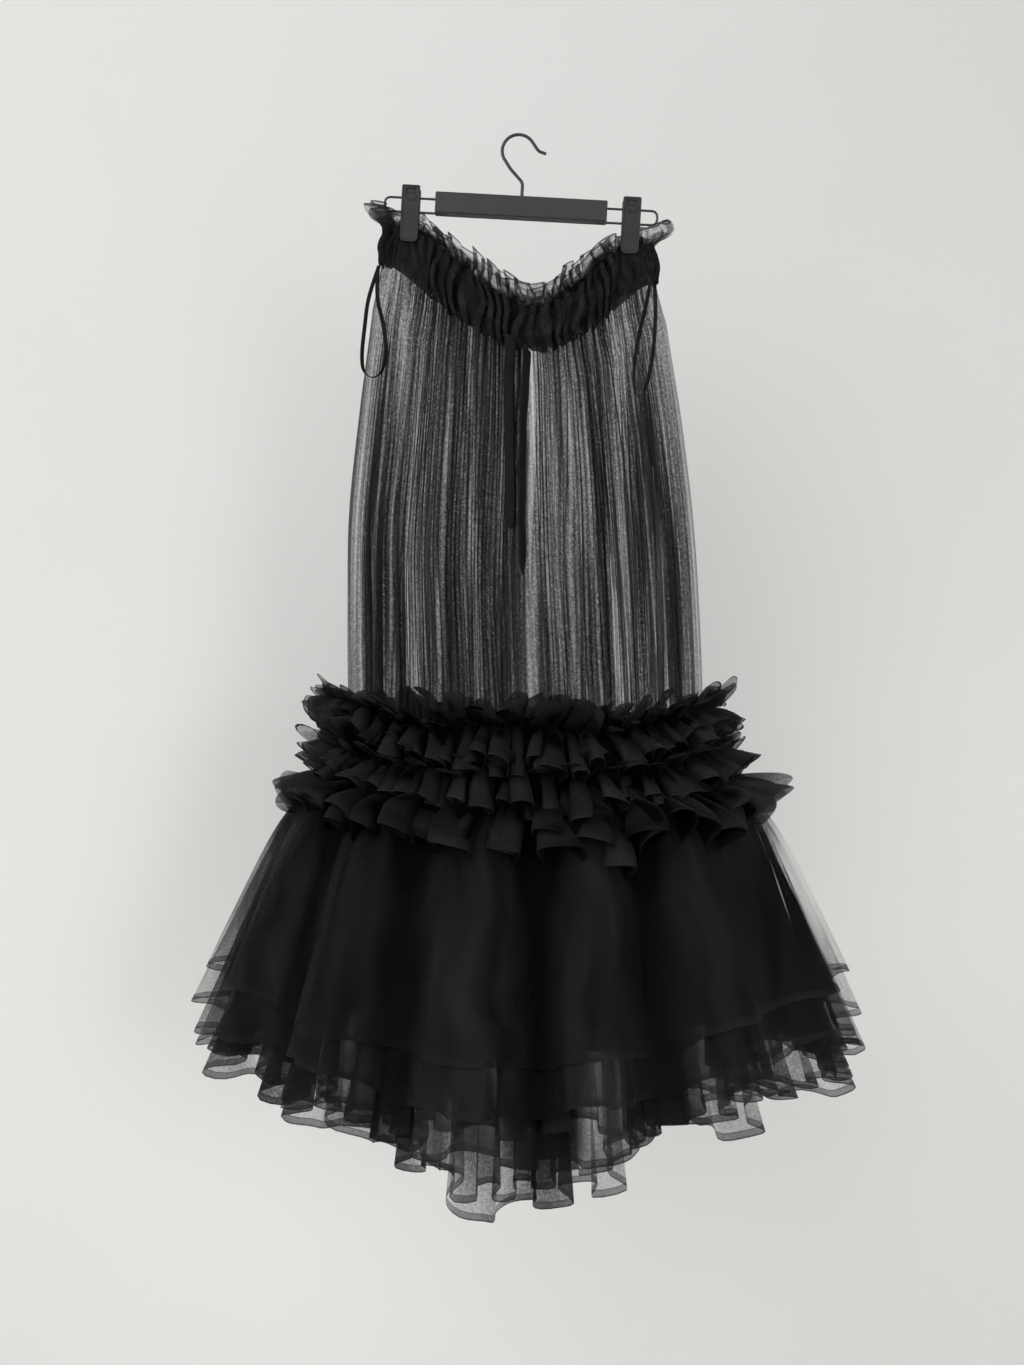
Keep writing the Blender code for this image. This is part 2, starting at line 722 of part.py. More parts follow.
def main():
    clear_scene()
    skirt = new_collection("skirt_on_hanger")
    cutters = new_collection("cutters", hidden=True)

    plastic = finish("hanger_plastic", (0.035, 0.036, 0.038), 0.45)
    steel = finish("hanger_steel", (0.05, 0.05, 0.055), 0.32, metallic=0.8)
    net = finish("black_net", (0.012, 0.012, 0.014), 0.75)
    ruffle_net = finish("ruffle_net", (0.014, 0.014, 0.017), 0.70)
    flounce_net = finish("flounce_net", (0.013, 0.013, 0.016), 0.72)
    ribbon = finish("black_ribbon", (0.010, 0.010, 0.012), 0.50)

    make_bar(plastic, skirt, cutters)
    make_hook(steel, skirt)
    make_rails(steel, skirt)
    make_clips(plastic, steel, skirt, cutters)

    make_frill(net, skirt)
    make_casing(net, skirt)
    make_body(net, skirt)
    make_ruffles(ruffle_net, skirt)
    make_low_ruffle(ruffle_net, skirt)
    make_flounce(flounce_net, skirt)

    make_ribbons(ribbon, skirt)


main()
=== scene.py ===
import math

import bmesh
import bpy
from mathutils import Matrix, Vector, noise


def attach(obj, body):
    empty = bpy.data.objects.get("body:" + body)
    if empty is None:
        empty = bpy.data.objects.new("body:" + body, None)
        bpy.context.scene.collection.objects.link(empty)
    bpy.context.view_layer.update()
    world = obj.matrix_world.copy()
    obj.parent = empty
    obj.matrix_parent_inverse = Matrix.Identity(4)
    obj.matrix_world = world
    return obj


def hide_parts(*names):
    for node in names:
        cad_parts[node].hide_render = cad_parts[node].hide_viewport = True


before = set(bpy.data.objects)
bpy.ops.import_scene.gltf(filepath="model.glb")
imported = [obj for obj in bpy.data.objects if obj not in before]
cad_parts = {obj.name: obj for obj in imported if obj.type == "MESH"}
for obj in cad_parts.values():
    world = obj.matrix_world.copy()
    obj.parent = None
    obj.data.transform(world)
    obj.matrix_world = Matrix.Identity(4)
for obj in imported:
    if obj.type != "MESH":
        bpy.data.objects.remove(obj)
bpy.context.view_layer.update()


# Camera
# It stands 1.75 m in front of the skirt and half way down it, looking straight back, with the
# whole hanger and hem in the picture.
camera_data = bpy.data.cameras.new("camera")
camera_data.sensor_width = 36
camera_data.angle = math.radians(44.5)
camera = bpy.data.objects.new("camera", camera_data)
bpy.context.scene.collection.objects.link(camera)
camera.location = (-0.007, -1.75, -0.573)
camera.rotation_euler = (math.radians(90), 0, 0)
bpy.context.scene.camera = camera


# Drawstring ties and hanger loops
# Flat woven satin ribbon. The two ends of the drawstring come out under the casing at the centre
# front and hang down, one face on and one turned, each with a frayed tip. The thin hanger loops are
# sewn into the side seams: the left one hangs outside, the right one inside.
TIE_WIDTH = 0.011
LOOP_WIDTH = 0.004
RIBBON_THICK = 0.0008
RIBBON_STEPS = 6
RIBBON_RIPPLE = 0.0004
RIBBON_CUP = 0.05
TIP_WIDTH_SHARE = 0.12
TIE_SHORT = [
    (-0.0086, -0.0579, -0.2360),
    (-0.0097, -0.0716, -0.2600),
    (-0.0097, -0.0833, -0.2900),
    (-0.0092, -0.0925, -0.3250),
    (-0.0087, -0.1007, -0.3600),
    (-0.0082, -0.1067, -0.3950),
    (-0.0083, -0.1112, -0.4220),
]
TIE_LONG = [
    (0.0081, -0.0602, -0.2352),
    (0.0072, -0.0748, -0.2600),
    (0.0051, -0.0893, -0.2950),
    (0.0036, -0.0983, -0.3300),
    (0.0030, -0.1062, -0.3650),
    (0.0025, -0.1125, -0.4000),
    (0.0030, -0.1174, -0.4350),
    (0.0035, -0.1215, -0.4680),
]
LOOP_LEFT = [
    (-0.1460, -0.0045, -0.1370),
    (-0.1568, -0.0069, -0.1720),
    (-0.1605, -0.0142, -0.2050),
    (-0.1627, -0.0194, -0.2340),
    (-0.1591, -0.0291, -0.2530),
    (-0.1502, -0.0381, -0.2600),
    (-0.1399, -0.0416, -0.2530),
    (-0.1361, -0.0378, -0.2340),
    (-0.1397, -0.0292, -0.2050),
    (-0.1468, -0.0175, -0.1720),
    (-0.1467, -0.0094, -0.1400),
]
LOOP_RIGHT = [
    (0.1425, 0.0000, -0.1565),
    (0.1435, 0.0000, -0.1850),
    (0.1415, 0.0000, -0.2200),
    (0.1360, 0.0000, -0.2550),
    (0.1290, 0.0000, -0.2720),
    (0.1220, 0.0000, -0.2660),
    (0.1215, 0.0000, -0.2400),
    (0.1260, 0.0000, -0.2100),
    (0.1330, 0.0000, -0.1800),
    (0.1377, 0.0000, -0.1565),
]


class Wire:
    """A socket of a material's nodes. A sum written on it adds its Math node."""

    def __init__(self, tree, output=None):
        self.tree = tree
        self.output = output

    def node(self, kind, settings=None, inputs=None, output=0):
        made = self.tree.nodes.new(kind)
        for name, value in (settings or {}).items():
            setattr(made, name, value)
        for name, value in (inputs or {}).items():
            if isinstance(value, Wire):
                self.tree.links.new(value.output, made.inputs[name])
            else:
                made.inputs[name].default_value = value
        return Wire(self.tree, made.outputs[output])

    def math(self, operation, first, second):
        return self.node("ShaderNodeMath", {"operation": operation}, {0: first, 1: second})

    def __add__(self, other):
        return self.math("ADD", self, other)

    __radd__ = __add__

    def __sub__(self, other):
        return self.math("SUBTRACT", self, other)

    def __rsub__(self, other):
        return self.math("SUBTRACT", other, self)

    def __mul__(self, other):
        return self.math("MULTIPLY", self, other)

    __rmul__ = __mul__

    def __rpow__(self, other):
        return self.math("POWER", other, self)

    def between(self, low, high):
        """0 below low, 1 above high."""
        return self.node(
            "ShaderNodeMapRange",
            {"clamp": True},
            {"Value": self, "From Min": low, "From Max": high},
        )


def new_finish(name, **constants):
    """A material, the wire that starts its sums, and its Principled shader."""
    material = bpy.data.materials.new(name)
    material.use_nodes = True
    tree = material.node_tree
    shader = tree.nodes["Principled BSDF"]
    for socket, value in constants.items():
        shader.inputs[socket.replace("_", " ")].default_value = value
    return material, Wire(tree), shader


def feed(shader, socket, wire):
    wire.tree.links.new(wire.output, shader.inputs[socket])


def tint(wire, factor, low, high):
    return wire.node(
        "ShaderNodeMix",
        {"data_type": "RGBA"},
        {0: factor, 6: (*low, 1), 7: (*high, 1)},
        2,
    )


ribbon_finish, wire, shader = new_finish(
    "satin_ribbon", Sheen_Weight=0.02, Sheen_Roughness=0.35, Specular_IOR_Level=0.12
)
cloth_uv = wire.node("ShaderNodeUVMap", {"uv_map": "cloth"})
rib = wire.node(
    "ShaderNodeTexWave",
    {"bands_direction": "Y"},
    {"Vector": cloth_uv, "Scale": 110.0, "Distortion": 0.6},
    1,
)
wear = wire.node("ShaderNodeTexNoise", None, {"Vector": cloth_uv, "Scale": 24.0, "Detail": 3.0})
feed(shader, "Base Color", tint(wire, wear, (0.0015, 0.0015, 0.002), (0.007, 0.007, 0.0085)))
feed(shader, "Roughness", 0.42 + 0.2 * wear)
feed(
    shader,
    "Normal",
    wire.node("ShaderNodeBump", None, {"Strength": 0.35, "Distance": 0.0003, "Height": rib}),
)


def curve_through(points, steps):
    """Points on a smooth curve through the given ones."""
    points = [Vector(point) for point in points]
    made = []
    for i in range(len(points) - 1):
        before, start = points[max(i - 1, 0)], points[i]
        end, after = points[i + 1], points[min(i + 2, len(points) - 1)]
        for step in range(steps):
            t = step / steps
            bend = (2 * before - 5 * start + 4 * end - after) * t**2
            turn = (3 * start - before - 3 * end + after) * t**3
            made.append(0.5 * (2 * start + (end - before) * t + bend + turn))
    return [*made, points[-1]]


def ribbon(name, points, width, face, taper=0.0):
    """A flat ribbon along points. face(share) is the direction of its width, and taper is how much
    of its end narrows to a frayed tip."""
    line = curve_through(points, RIBBON_STEPS)
    rows = len(line) - 1
    bm = bmesh.new()
    bm.loops.layers.uv.new("cloth")
    bmesh.ops.create_grid(bm, x_segments=4, y_segments=rows, size=0.5, calc_uvs=True)
    for vert in bm.verts:
        row = round((vert.co.y + 0.5) * rows)
        share = row / rows
        along = (line[min(row + 1, rows)] - line[max(row - 1, 0)]).normalized()
        across = Vector(face(share))
        across = (across - along * across.dot(along)).normalized()
        out = along.cross(across)
        narrow = 1.0
        if taper and share > 1 - taper:
            narrow = max(TIP_WIDTH_SHARE, 1 - ((share - 1 + taper) / taper) ** 2)
        cup = RIBBON_CUP * width * (1 - (2 * vert.co.x) ** 2)
        ripple = RIBBON_RIPPLE * math.sin(31 * share) + cup
        vert.co = line[row] + across * (width * vert.co.x * narrow) + out * ripple
    mesh = bpy.data.meshes.new(name)
    bm.to_mesh(mesh)
    bm.free()
    made = bpy.data.objects.new(name, mesh)
    bpy.context.scene.collection.objects.link(made)
    mesh.materials.append(ribbon_finish)
    mesh.shade_smooth()
    wall = made.modifiers.new("thickness", "SOLIDIFY")
    wall.thickness = RIBBON_THICK
    wall.offset = 0
    length = sum((b - a).length for a, b in zip(line, line[1:]))
    return made, line, length


def loop_face(share):
    """The strands lie flat to the front and the ribbon turns on edge at the loop's foot."""
    turn = math.pi / 2 * math.exp(-(((share - 0.5) / 0.16) ** 2))
    return (math.cos(turn), math.sin(turn), 0)


RIBBONS = {
    "tie_short": (TIE_SHORT, TIE_WIDTH, lambda share: (1, 0, 0), 0.09, "bare"),
    "tie_long": (TIE_LONG, TIE_WIDTH, lambda share: (0.64, 0.77, 0), 0.10, "bare"),
    "loop_left": (LOOP_LEFT, LOOP_WIDTH, loop_face, 0.0, "object"),
    "loop_right": (LOOP_RIGHT, LOOP_WIDTH, loop_face, 0.0, "object"),
}
for name, (points, width, face, taper, far_end) in RIBBONS.items():
    piece, line, length = ribbon(f"{name}_ribbon", points, width, face, taper)
    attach(piece, "root")
    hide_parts(name)

# The upper end of the short tie, which carries it up under the casing's foot.
TIE_LEAD = [
    (-0.0083, -0.0636, -0.2215),
    (-0.0086, -0.0650, -0.2300),
    (-0.0091, -0.0668, -0.2420),
    (-0.0096, -0.0692, -0.2545),
]
lead = ribbon("tie_lead", TIE_LEAD, TIE_WIDTH, lambda share: (1, 0, 0))[0]
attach(lead, "root")


# Wall and floor
# A plain pale plastered wall close behind the hanger and a plain floor well below it. The wall is
# seen from its front alone.
WALL_Y = 0.46
FLOOR_Z = -1.62
STAGE_SIZE = 12


def stage_plane(name, size, place, turn):
    bm = bmesh.new()
    bmesh.ops.create_grid(bm, x_segments=1, y_segments=1, size=size / 2)
    bmesh.ops.transform(bm, matrix=Matrix.Translation(place) @ turn, verts=bm.verts)
    mesh = bpy.data.meshes.new(name)
    bm.to_mesh(mesh)
    bm.free()
    made = bpy.data.objects.new(name, mesh)
    bpy.context.scene.collection.objects.link(made)
    return made


plaster, wire, shader = new_finish("plaster", Roughness=0.95, Specular_IOR_Level=0.1)
spot = wire.node("ShaderNodeTexCoord", None, None, 3)
grain = wire.node("ShaderNodeTexNoise", None, {"Vector": spot, "Scale": 3.0, "Detail": 4.0})
feed(shader, "Base Color", tint(wire, grain, (0.80, 0.80, 0.785), (0.84, 0.84, 0.83)))
behind = wire.node("ShaderNodeNewGeometry", None, None, 6)
clear = wire.node("ShaderNodeBsdfTransparent")
lit = Wire(wire.tree, shader.outputs[0])
one_sided = wire.node("ShaderNodeMixShader", None, {0: behind, 1: lit, 2: clear})
wire.tree.links.new(one_sided.output, wire.tree.nodes["Material Output"].inputs["Surface"])
upright = Matrix.Rotation(math.radians(90), 4, "X")
wall = stage_plane("wall", STAGE_SIZE, (0, WALL_Y, -0.5), upright)
floor = stage_plane("floor", STAGE_SIZE, (0, 0, FLOOR_Z), Matrix.Identity(4))
for flat in (wall, floor):
    flat.data.materials.append(plaster)


# Light
# Soft daylight: an even sky, one broad window-like panel high on the left, and a weak narrow one
# low on the right, which lights the wall behind the hem.
SKY_STRENGTH = 0.53
scene = bpy.context.scene
scene.view_settings.view_transform = "Standard"
world = bpy.data.worlds.new("daylight")
world.use_nodes = True
world.node_tree.nodes["Background"].inputs["Color"].default_value = (1.0, 1.0, 0.99, 1)
world.node_tree.nodes["Background"].inputs["Strength"].default_value = SKY_STRENGTH
scene.world = world


def light_panel(name, place, aim, size, power, spread=math.pi):
    data = bpy.data.lights.new(name, "AREA")
    data.shape = "RECTANGLE"
    data.size, data.size_y = size
    data.energy = power
    data.spread = spread
    made = bpy.data.objects.new(name, data)
    scene.collection.objects.link(made)
    made.location = place
    made.rotation_mode = "QUATERNION"
    made.rotation_quaternion = (Vector(aim) - Vector(place)).to_track_quat("-Z", "Y")


light_panel("window", place=(-1.7, -2.9, 1.1), aim=(0, 0.4, -0.7), size=(3.2, 3.2), power=71)
light_panel(
    "fill",
    place=(1.2, -2.6, -0.6),
    aim=(0.14, 0.4, -1.0),
    size=(1.2, 1.2),
    power=1.8,
    spread=math.radians(36),
)


# Hanger
# A moulded black plastic bar carries a bent wire hook and two long wire rails, all painted black.
# The bar and clips are satin with a fine moulded grain, paler edges that are partly rubbed and
# partly a painted highlight, and painted shade on faces turned down and in hollows.
DARKEST_PLASTIC = (0.0015, 0.0015, 0.0015)
PALEST_PLASTIC = (0.046, 0.046, 0.049)
hanger_plastic, wire, shader = new_finish("moulded_plastic", Specular_IOR_Level=0.28)
spot = wire.node("ShaderNodeTexCoord", None, None, 3)
cloudy = wire.node("ShaderNodeTexNoise", None, {"Vector": spot, "Scale": 45.0, "Detail": 4.0})
grit = wire.node("ShaderNodeTexNoise", None, {"Vector": spot, "Scale": 1800.0, "Detail": 2.0})
brushed = wire.node("ShaderNodeMapping", None, {"Vector": spot, "Scale": (6.0, 60.0, 220.0)})
scuffs = wire.node("ShaderNodeTexNoise", None, {"Vector": brushed, "Scale": 4.0, "Detail": 3.0})
edges = wire.node("ShaderNodeNewGeometry", None, None, 7)
# Paler convex edges: partly rubbed wear, partly a painted highlight.
rubbed_and_highlit_edges = edges.between(0.505, 0.55)
normal = wire.node("ShaderNodeTexCoord", None, None, 1)
facing = wire.node("ShaderNodeSeparateXYZ", None, {"Vector": normal}, 2)
# Painted shade: faces turned down and concave hollows are darker.
painted_underside_shade = 1 - facing.between(-0.98, -0.85)
painted_hollow_shade = 1 - edges.between(0.45, 0.495)
shade = (cloudy * 0.5 + scuffs * 0.3 + rubbed_and_highlit_edges * 0.35) * (1 - painted_underside_shade) - 0.35 * painted_underside_shade - 0.5 * painted_hollow_shade
shade = shade.between(-0.35, 1.0)
feed(shader, "Base Color", tint(wire, shade, DARKEST_PLASTIC, PALEST_PLASTIC))
feed(shader, "Roughness", 0.36 + 0.25 * scuffs)
feed(
    shader,
    "Normal",
    wire.node("ShaderNodeBump", None, {"Strength": 0.25, "Distance": 0.0002, "Height": grit}),
)

hanger_steel, wire, shader = new_finish("painted_wire", Metallic=0.85)
spot = wire.node("ShaderNodeTexCoord", None, None, 3)
paint = wire.node("ShaderNodeTexNoise", None, {"Vector": spot, "Scale": 260.0, "Detail": 3.0})
feed(shader, "Base Color", tint(wire, paint, (0.030, 0.030, 0.034), (0.10, 0.10, 0.11)))
feed(shader, "Roughness", 0.28 + 0.2 * paint)

STEEL_NODES = (
    "hanger_hook",
    "hanger_rail_left",
    "hanger_rail_right",
    "clip_left_coil",
    "clip_right_coil",
)
PLASTIC_NODES = ("hanger_bar", "clip_left_back", "clip_right_back")
for names, finish in ((STEEL_NODES, hanger_steel), (PLASTIC_NODES, hanger_plastic)):
    for name in names:
        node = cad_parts[name]
        node.data.materials.clear()
        node.data.materials.append(finish)


# Front jaws of the clips
# Each is one moulded plate that leans in to the cloth, with a raised rim, a sunk panel and a curved
# thumb mark at its top, a rounded lip at its foot and two cheeks that reach in to the rails.
HANGER_X = 0.0026
BAR_Z = -0.0756
TILT = math.radians(3.1)
CLIP_X = 0.1157
RAIL_DROP = 0.0029
RAIL_RADIUS = 0.0013
JAW_HALF_WIDTH = 0.0095
JAW_ABOVE = 0.019
JAW_BELOW = 0.0395
JAW_PLATE = 0.0020
JAW_FRONT_Y = 0.0092
JAW_TIP_Y = 0.0048
JAW_TIP_RADIUS = 0.005
JAW_TOP_RADIUS = 0.002
JAW_RIM = 0.0008
JAW_ROUNDING = 0.0011
PANEL_DEPTH = 0.0016
PANEL_HALF_WIDTH = 0.0052
PANEL_FOOT = 0.0092
PANEL_TOP = 0.0158
PANEL_EDGE = 0.0005
MARK_HEIGHT = 0.0011
MARK_Z = 0.0090
MARK_RADIUS = 0.0062
LIP_HEIGHT = 0.0009
LIP_Z = 0.0362
CHEEK_THICK = 0.002
CHEEK_ABOVE = 0.0125
CHEEK_BELOW = 0.0095
CHEEK_GAP = 0.0003
CHEEK_INSET = 0.0004
CHEEK_BEVEL = 0.0004


def mix(low, high, share):
    return low + (high - low) * share


def ease(share):
    share = min(max(share, 0.0), 1.0)
    return share * share * (3 - 2 * share)


def jaw_half_width(z):
    """Half the plate's width at a height, less where its corners are rounded."""
    for corner, radius in ((-JAW_BELOW - z, JAW_TIP_RADIUS), (z - JAW_ABOVE, JAW_TOP_RADIUS)):
        past = corner + radius
        if past > 0:
            return JAW_HALF_WIDTH - radius + math.sqrt(max(radius**2 - past**2, 0.0))
    return JAW_HALF_WIDTH


def jaw_relief(x, z, half):
    """How far the plate's face stands out at a place on it."""
    inset = min(half - abs(x), z + JAW_BELOW, JAW_ABOVE - z)
    rim = JAW_RIM * (1 - ease((inset - JAW_ROUNDING) / 0.0009))
    rounding = JAW_ROUNDING * (1 - ease(inset / JAW_ROUNDING)) ** 2
    panel = ease((PANEL_HALF_WIDTH - abs(x)) / PANEL_EDGE)
    panel *= ease((z - PANEL_FOOT) / PANEL_EDGE)
    panel *= ease((PANEL_TOP - z) / PANEL_EDGE)
    thumb = abs(math.hypot(x, z - MARK_Z) - MARK_RADIUS)
    mark = ease((0.0085 - z) / 0.001) * (1 - ease(thumb / 0.0007))
    lip = math.exp(-(((z + LIP_Z) / 0.0011) ** 2)) * ease((half - abs(x)) / 0.002)
    return rim - rounding - PANEL_DEPTH * panel + MARK_HEIGHT * mark + LIP_HEIGHT * lip


for side_name, side in (("left", -1), ("right", 1)):
    bm = bmesh.new()
    bmesh.ops.create_grid(bm, x_segments=38, y_segments=116, size=0.5)
    for vert in bm.verts:
        z = mix(-JAW_BELOW, JAW_ABOVE, vert.co.y + 0.5)
        half = jaw_half_width(z)
        x = 2 * vert.co.x * half
        lean = mix(JAW_FRONT_Y, JAW_TIP_Y, ease(-z / JAW_BELOW))
        vert.co = (x, -lean - jaw_relief(x, z, half), z)
    grown = bmesh.ops.extrude_face_region(bm, geom=bm.faces[:], use_keep_orig=True)
    inner = [item for item in grown["geom"] if isinstance(item, bmesh.types.BMVert)]
    for vert in inner:
        lean = mix(JAW_FRONT_Y, JAW_TIP_Y, ease(-vert.co.z / JAW_BELOW))
        vert.co.y = JAW_PLATE - lean
    for cheek_side in (-1, 1):
        near = -RAIL_RADIUS - CHEEK_GAP
        far = JAW_PLATE - JAW_FRONT_Y - CHEEK_INSET
        size = (CHEEK_THICK, near - far, CHEEK_ABOVE + CHEEK_BELOW)
        middle = (
            cheek_side * (JAW_HALF_WIDTH - CHEEK_INSET - CHEEK_THICK / 2),
            (near + far) / 2,
            (CHEEK_ABOVE - CHEEK_BELOW) / 2,
        )
        cheek = bmesh.ops.create_cube(bm, matrix=Matrix.LocRotScale(middle, None, size))["verts"]
        rims = list(dict.fromkeys(edge for vert in cheek for edge in vert.link_edges))
        bmesh.ops.bevel(
            bm,
            geom=rims,
            offset=CHEEK_BEVEL,
            segments=2,
            profile=0.5,
            affect="EDGES",
            material=-1,
        )
    bmesh.ops.recalc_face_normals(bm, faces=bm.faces)
    spot = Matrix.Translation((HANGER_X, 0, BAR_Z)) @ Matrix.Rotation(TILT, 4, "Y")
    slid = Matrix.Translation((side * CLIP_X, 0, -RAIL_DROP))
    bmesh.ops.transform(bm, matrix=spot @ slid, verts=bm.verts)
    mesh = bpy.data.meshes.new(f"clip_{side_name}_plate")
    bm.to_mesh(mesh)
    bm.free()
    mesh.shade_smooth()
    jaw = bpy.data.objects.new(mesh.name, mesh)
    scene.collection.objects.link(jaw)
    mesh.materials.append(hanger_plastic)
    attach(jaw, "root")
    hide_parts(f"clip_{side_name}_front")


# Waist casing
# A doubled strip of net turned over the drawstring and pulled up into small tight gathers all
# round, so dense that it is nearly solid black. It sags between the clips, which hold it flat.
GRIP_REACH = 0.0145
GRIP_EASE = 0.008
PINCH_HALF_GAP = 0.0013
PINCH_BULB = 0.006
PINCH_ROUNDING = 0.2
SAG_MIDDLE = 0.012
CASING_TOP = -0.103
CASING_FOOT = -0.144
BODY_FOOT = -0.678
LEVEL_COLUMNS = (
    "side_z",
    "middle_x",
    "half_width",
    "front",
    "back",
    "front_sag",
    "back_sag",
    "sag_power",
    "slope",
    "pinch",
)
LEVELS = [
    (-0.103, 0.0000, 0.1385, 0.046, 0.040, 0.0860, 0.064, 2.7, 0.075, 1.00),
    (-0.144, 0.0000, 0.1435, 0.052, 0.046, 0.0900, 0.064, 1.7, 0.070, 1.00),
    (-0.190, 0.0010, 0.1540, 0.072, 0.066, 0.0830, 0.062, 1.4, 0.055, 0.45),
    (-0.290, 0.0020, 0.1680, 0.094, 0.088, 0.0720, 0.054, 1.0, 0.036, 0.10),
    (-0.400, 0.0025, 0.1800, 0.108, 0.102, 0.0560, 0.044, 1.0, 0.026, 0.00),
    (-0.500, 0.0050, 0.1840, 0.116, 0.110, 0.0400, 0.034, 1.0, 0.020, 0.00),
    (-0.590, 0.0070, 0.1855, 0.124, 0.118, 0.0290, 0.026, 1.0, 0.016, 0.00),
    (-0.678, 0.0100, 0.1860, 0.130, 0.124, 0.0180, 0.016, 1.0, 0.012, 0.00),
]


def level_at(side_z):
    """The skirt's form at a height on the side seam, on a smooth curve through LEVELS."""
    last = len(LEVELS) - 1
    low = next((i for i in range(last) if side_z >= LEVELS[i + 1][0]), last - 1)
    share = (side_z - LEVELS[low][0]) / (LEVELS[low + 1][0] - LEVELS[low][0])
    share = min(max(share, 0.0), 1.0)
    before, after = LEVELS[max(low - 1, 0)], LEVELS[min(low + 2, last)]
    form = {}
    for column, name in enumerate(LEVEL_COLUMNS):
        start, end = LEVELS[low][column], LEVELS[low + 1][column]
        lead_in, lead_out = (end - before[column]) / 2, (after[column] - start) / 2
        form[name] = (
            start * (2 * share**3 - 3 * share**2 + 1)
            + lead_in * (share**3 - 2 * share**2 + share)
            + end * (3 * share**2 - 2 * share**3)
            + lead_out * (share**3 - share**2)
        )
    form["side_z"] = side_z
    form["pinch"] = min(max(form["pinch"], 0.0), 1.0)
    return form


def clear_of_clips(x):
    """0 where a clip grips the waist, 1 away from it."""
    reach = abs(abs(x - HANGER_X) - CLIP_X)
    return ease((reach - GRIP_REACH) / GRIP_EASE)


def ring_point(form, angle, out=0.0, rise=0.0):
    """A point of the skirt at an angle round it, where 0 is the right seam and 3/4 turn the front,
    moved out along the ring's normal and up."""
    across, along = math.cos(angle), math.sin(angle)
    width = form["half_width"]
    depth = form["back"] if along > 0 else form["front"]
    x = form["middle_x"] + width * across
    aside = abs(x - HANGER_X)
    inner_edge, outer_edge = CLIP_X - GRIP_REACH, CLIP_X + GRIP_REACH
    swell = 0.0
    if aside < inner_edge:
        swell = depth * (1 - (aside / inner_edge) ** 2)
    elif aside > outer_edge:
        share = abs(along) / math.sqrt(1 - (outer_edge / width) ** 2)
        swell = PINCH_BULB * math.sin(math.pi * min(share, 1.0))
    held = PINCH_HALF_GAP * min(1.0, abs(along) / PINCH_ROUNDING)
    y = mix(depth * along, math.copysign(swell + held, along), form["pinch"])
    side = width - SAG_MIDDLE if x > form["middle_x"] + SAG_MIDDLE else width + SAG_MIDDLE
    share = min(abs(x - form["middle_x"] - SAG_MIDDLE) / side, 1.0)
    sag = form["back_sag"] if along > 0 else form["front_sag"]
    z = form["side_z"] - sag * (1 - share**2) ** form["sag_power"] - form["slope"] * x
    normal_x, normal_y = across / width, along / depth
    size = math.hypot(normal_x, normal_y)
    return Vector((x + normal_x / size * out, y + normal_y / size * out, z + rise))


def wobble(angle, times, seed, height=0.0):
    """Uneven ups and downs, about that many round the ring, that meet where it closes."""
    reach = times / math.tau
    return noise.noise(Vector((reach * math.cos(angle), reach * math.sin(angle), seed + height)))


def net_sheet(name, columns, rows, surface, angles=(0, math.tau)):
    """A sheet of net: a grid that surface(angle, share up from the lowest row) puts in place. It
    also gives how full the cloth is gathered there and the distance to its hem."""
    bm = bmesh.new()
    bm.loops.layers.uv.new("cloth")
    fullness = bm.verts.layers.float.new("fullness")
    hem = bm.verts.layers.float.new("hem")
    bmesh.ops.create_grid(bm, x_segments=columns, y_segments=rows, size=0.5, calc_uvs=True)
    for vert in bm.verts:
        angle = mix(angles[0], angles[1], vert.co.x + 0.5)
        vert.co, vert[fullness], vert[hem] = surface(angle, vert.co.y + 0.5)
    bmesh.ops.remove_doubles(bm, verts=bm.verts, dist=1e-6)
    mesh = bpy.data.meshes.new(name)
    bm.to_mesh(mesh)
    bm.free()
    mesh.shade_smooth()
    made = bpy.data.objects.new(name, mesh)
    scene.collection.objects.link(made)
    return made


NET_HOLES = 620.0
NET_FLECKS = 420.0
BAND_LAYERS = 1.3
STITCH_LAYERS = 1.6
EDGE_LAYERS = 2.0


